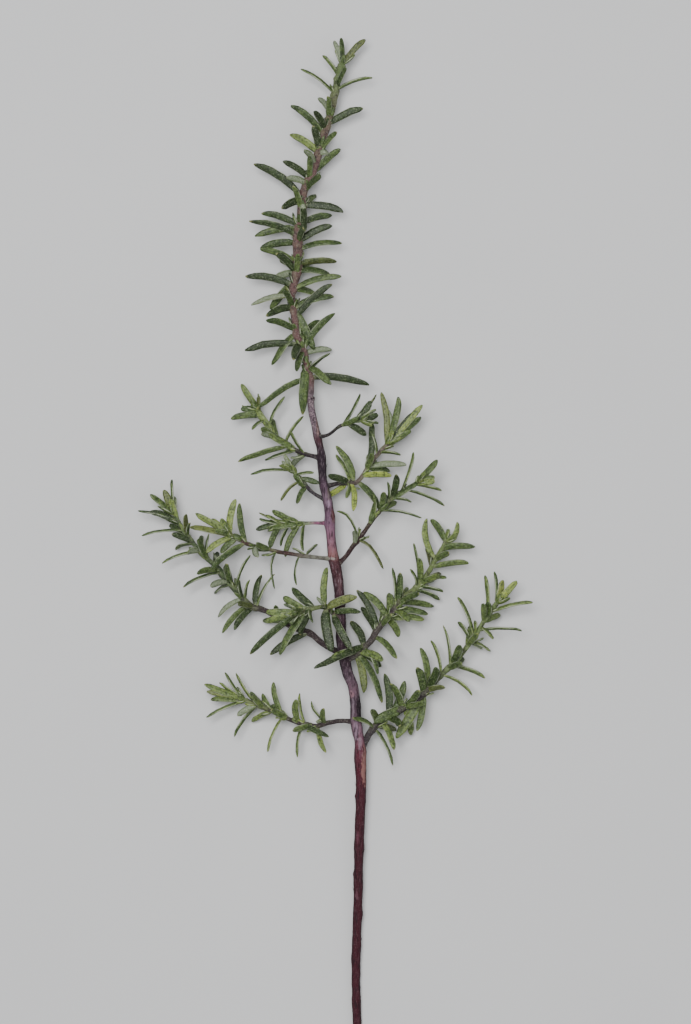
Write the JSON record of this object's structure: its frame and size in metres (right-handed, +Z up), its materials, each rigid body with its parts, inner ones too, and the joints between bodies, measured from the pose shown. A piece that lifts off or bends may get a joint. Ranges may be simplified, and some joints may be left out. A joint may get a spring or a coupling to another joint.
{
  "type": "rosemary sprig",
  "caption": "Cut rosemary sprig lying down: a bare woody stem with a leafy leader and narrow-leaved side shoots on both sides.",
  "frame": {"origin": "middle of the bottom of the sprig's box, on the surface that it lies on", "axes": "+Y along the sprig from the cut end to the tip, +Z up from the surface, +X to the right seen from above with the tip away"},
  "size_m": [0.1782, 0.4595, 0.0331],
  "materials": {
    "bark": "thin matt red-brown bark",
    "leaf": "satin dark green leaf with a downy pale underside"
  },
  "bodies": {
    "root": {"main_stem": "bark", "leader": "leaf", "shoot_front": "leaf", "shoot_high_left": "leaf", "shoot_high_left_second": "leaf", "shoot_high_right": "leaf", "shoot_left_small": "leaf", "shoot_long_right": "leaf", "shoot_low_left": "leaf", "shoot_low_right": "leaf", "shoot_mid_left_long": "leaf", "shoot_mid_left_short": "leaf", "shoot_mid_right": "leaf", "shoot_top_right": "leaf"}
  },
  "joints": []
}
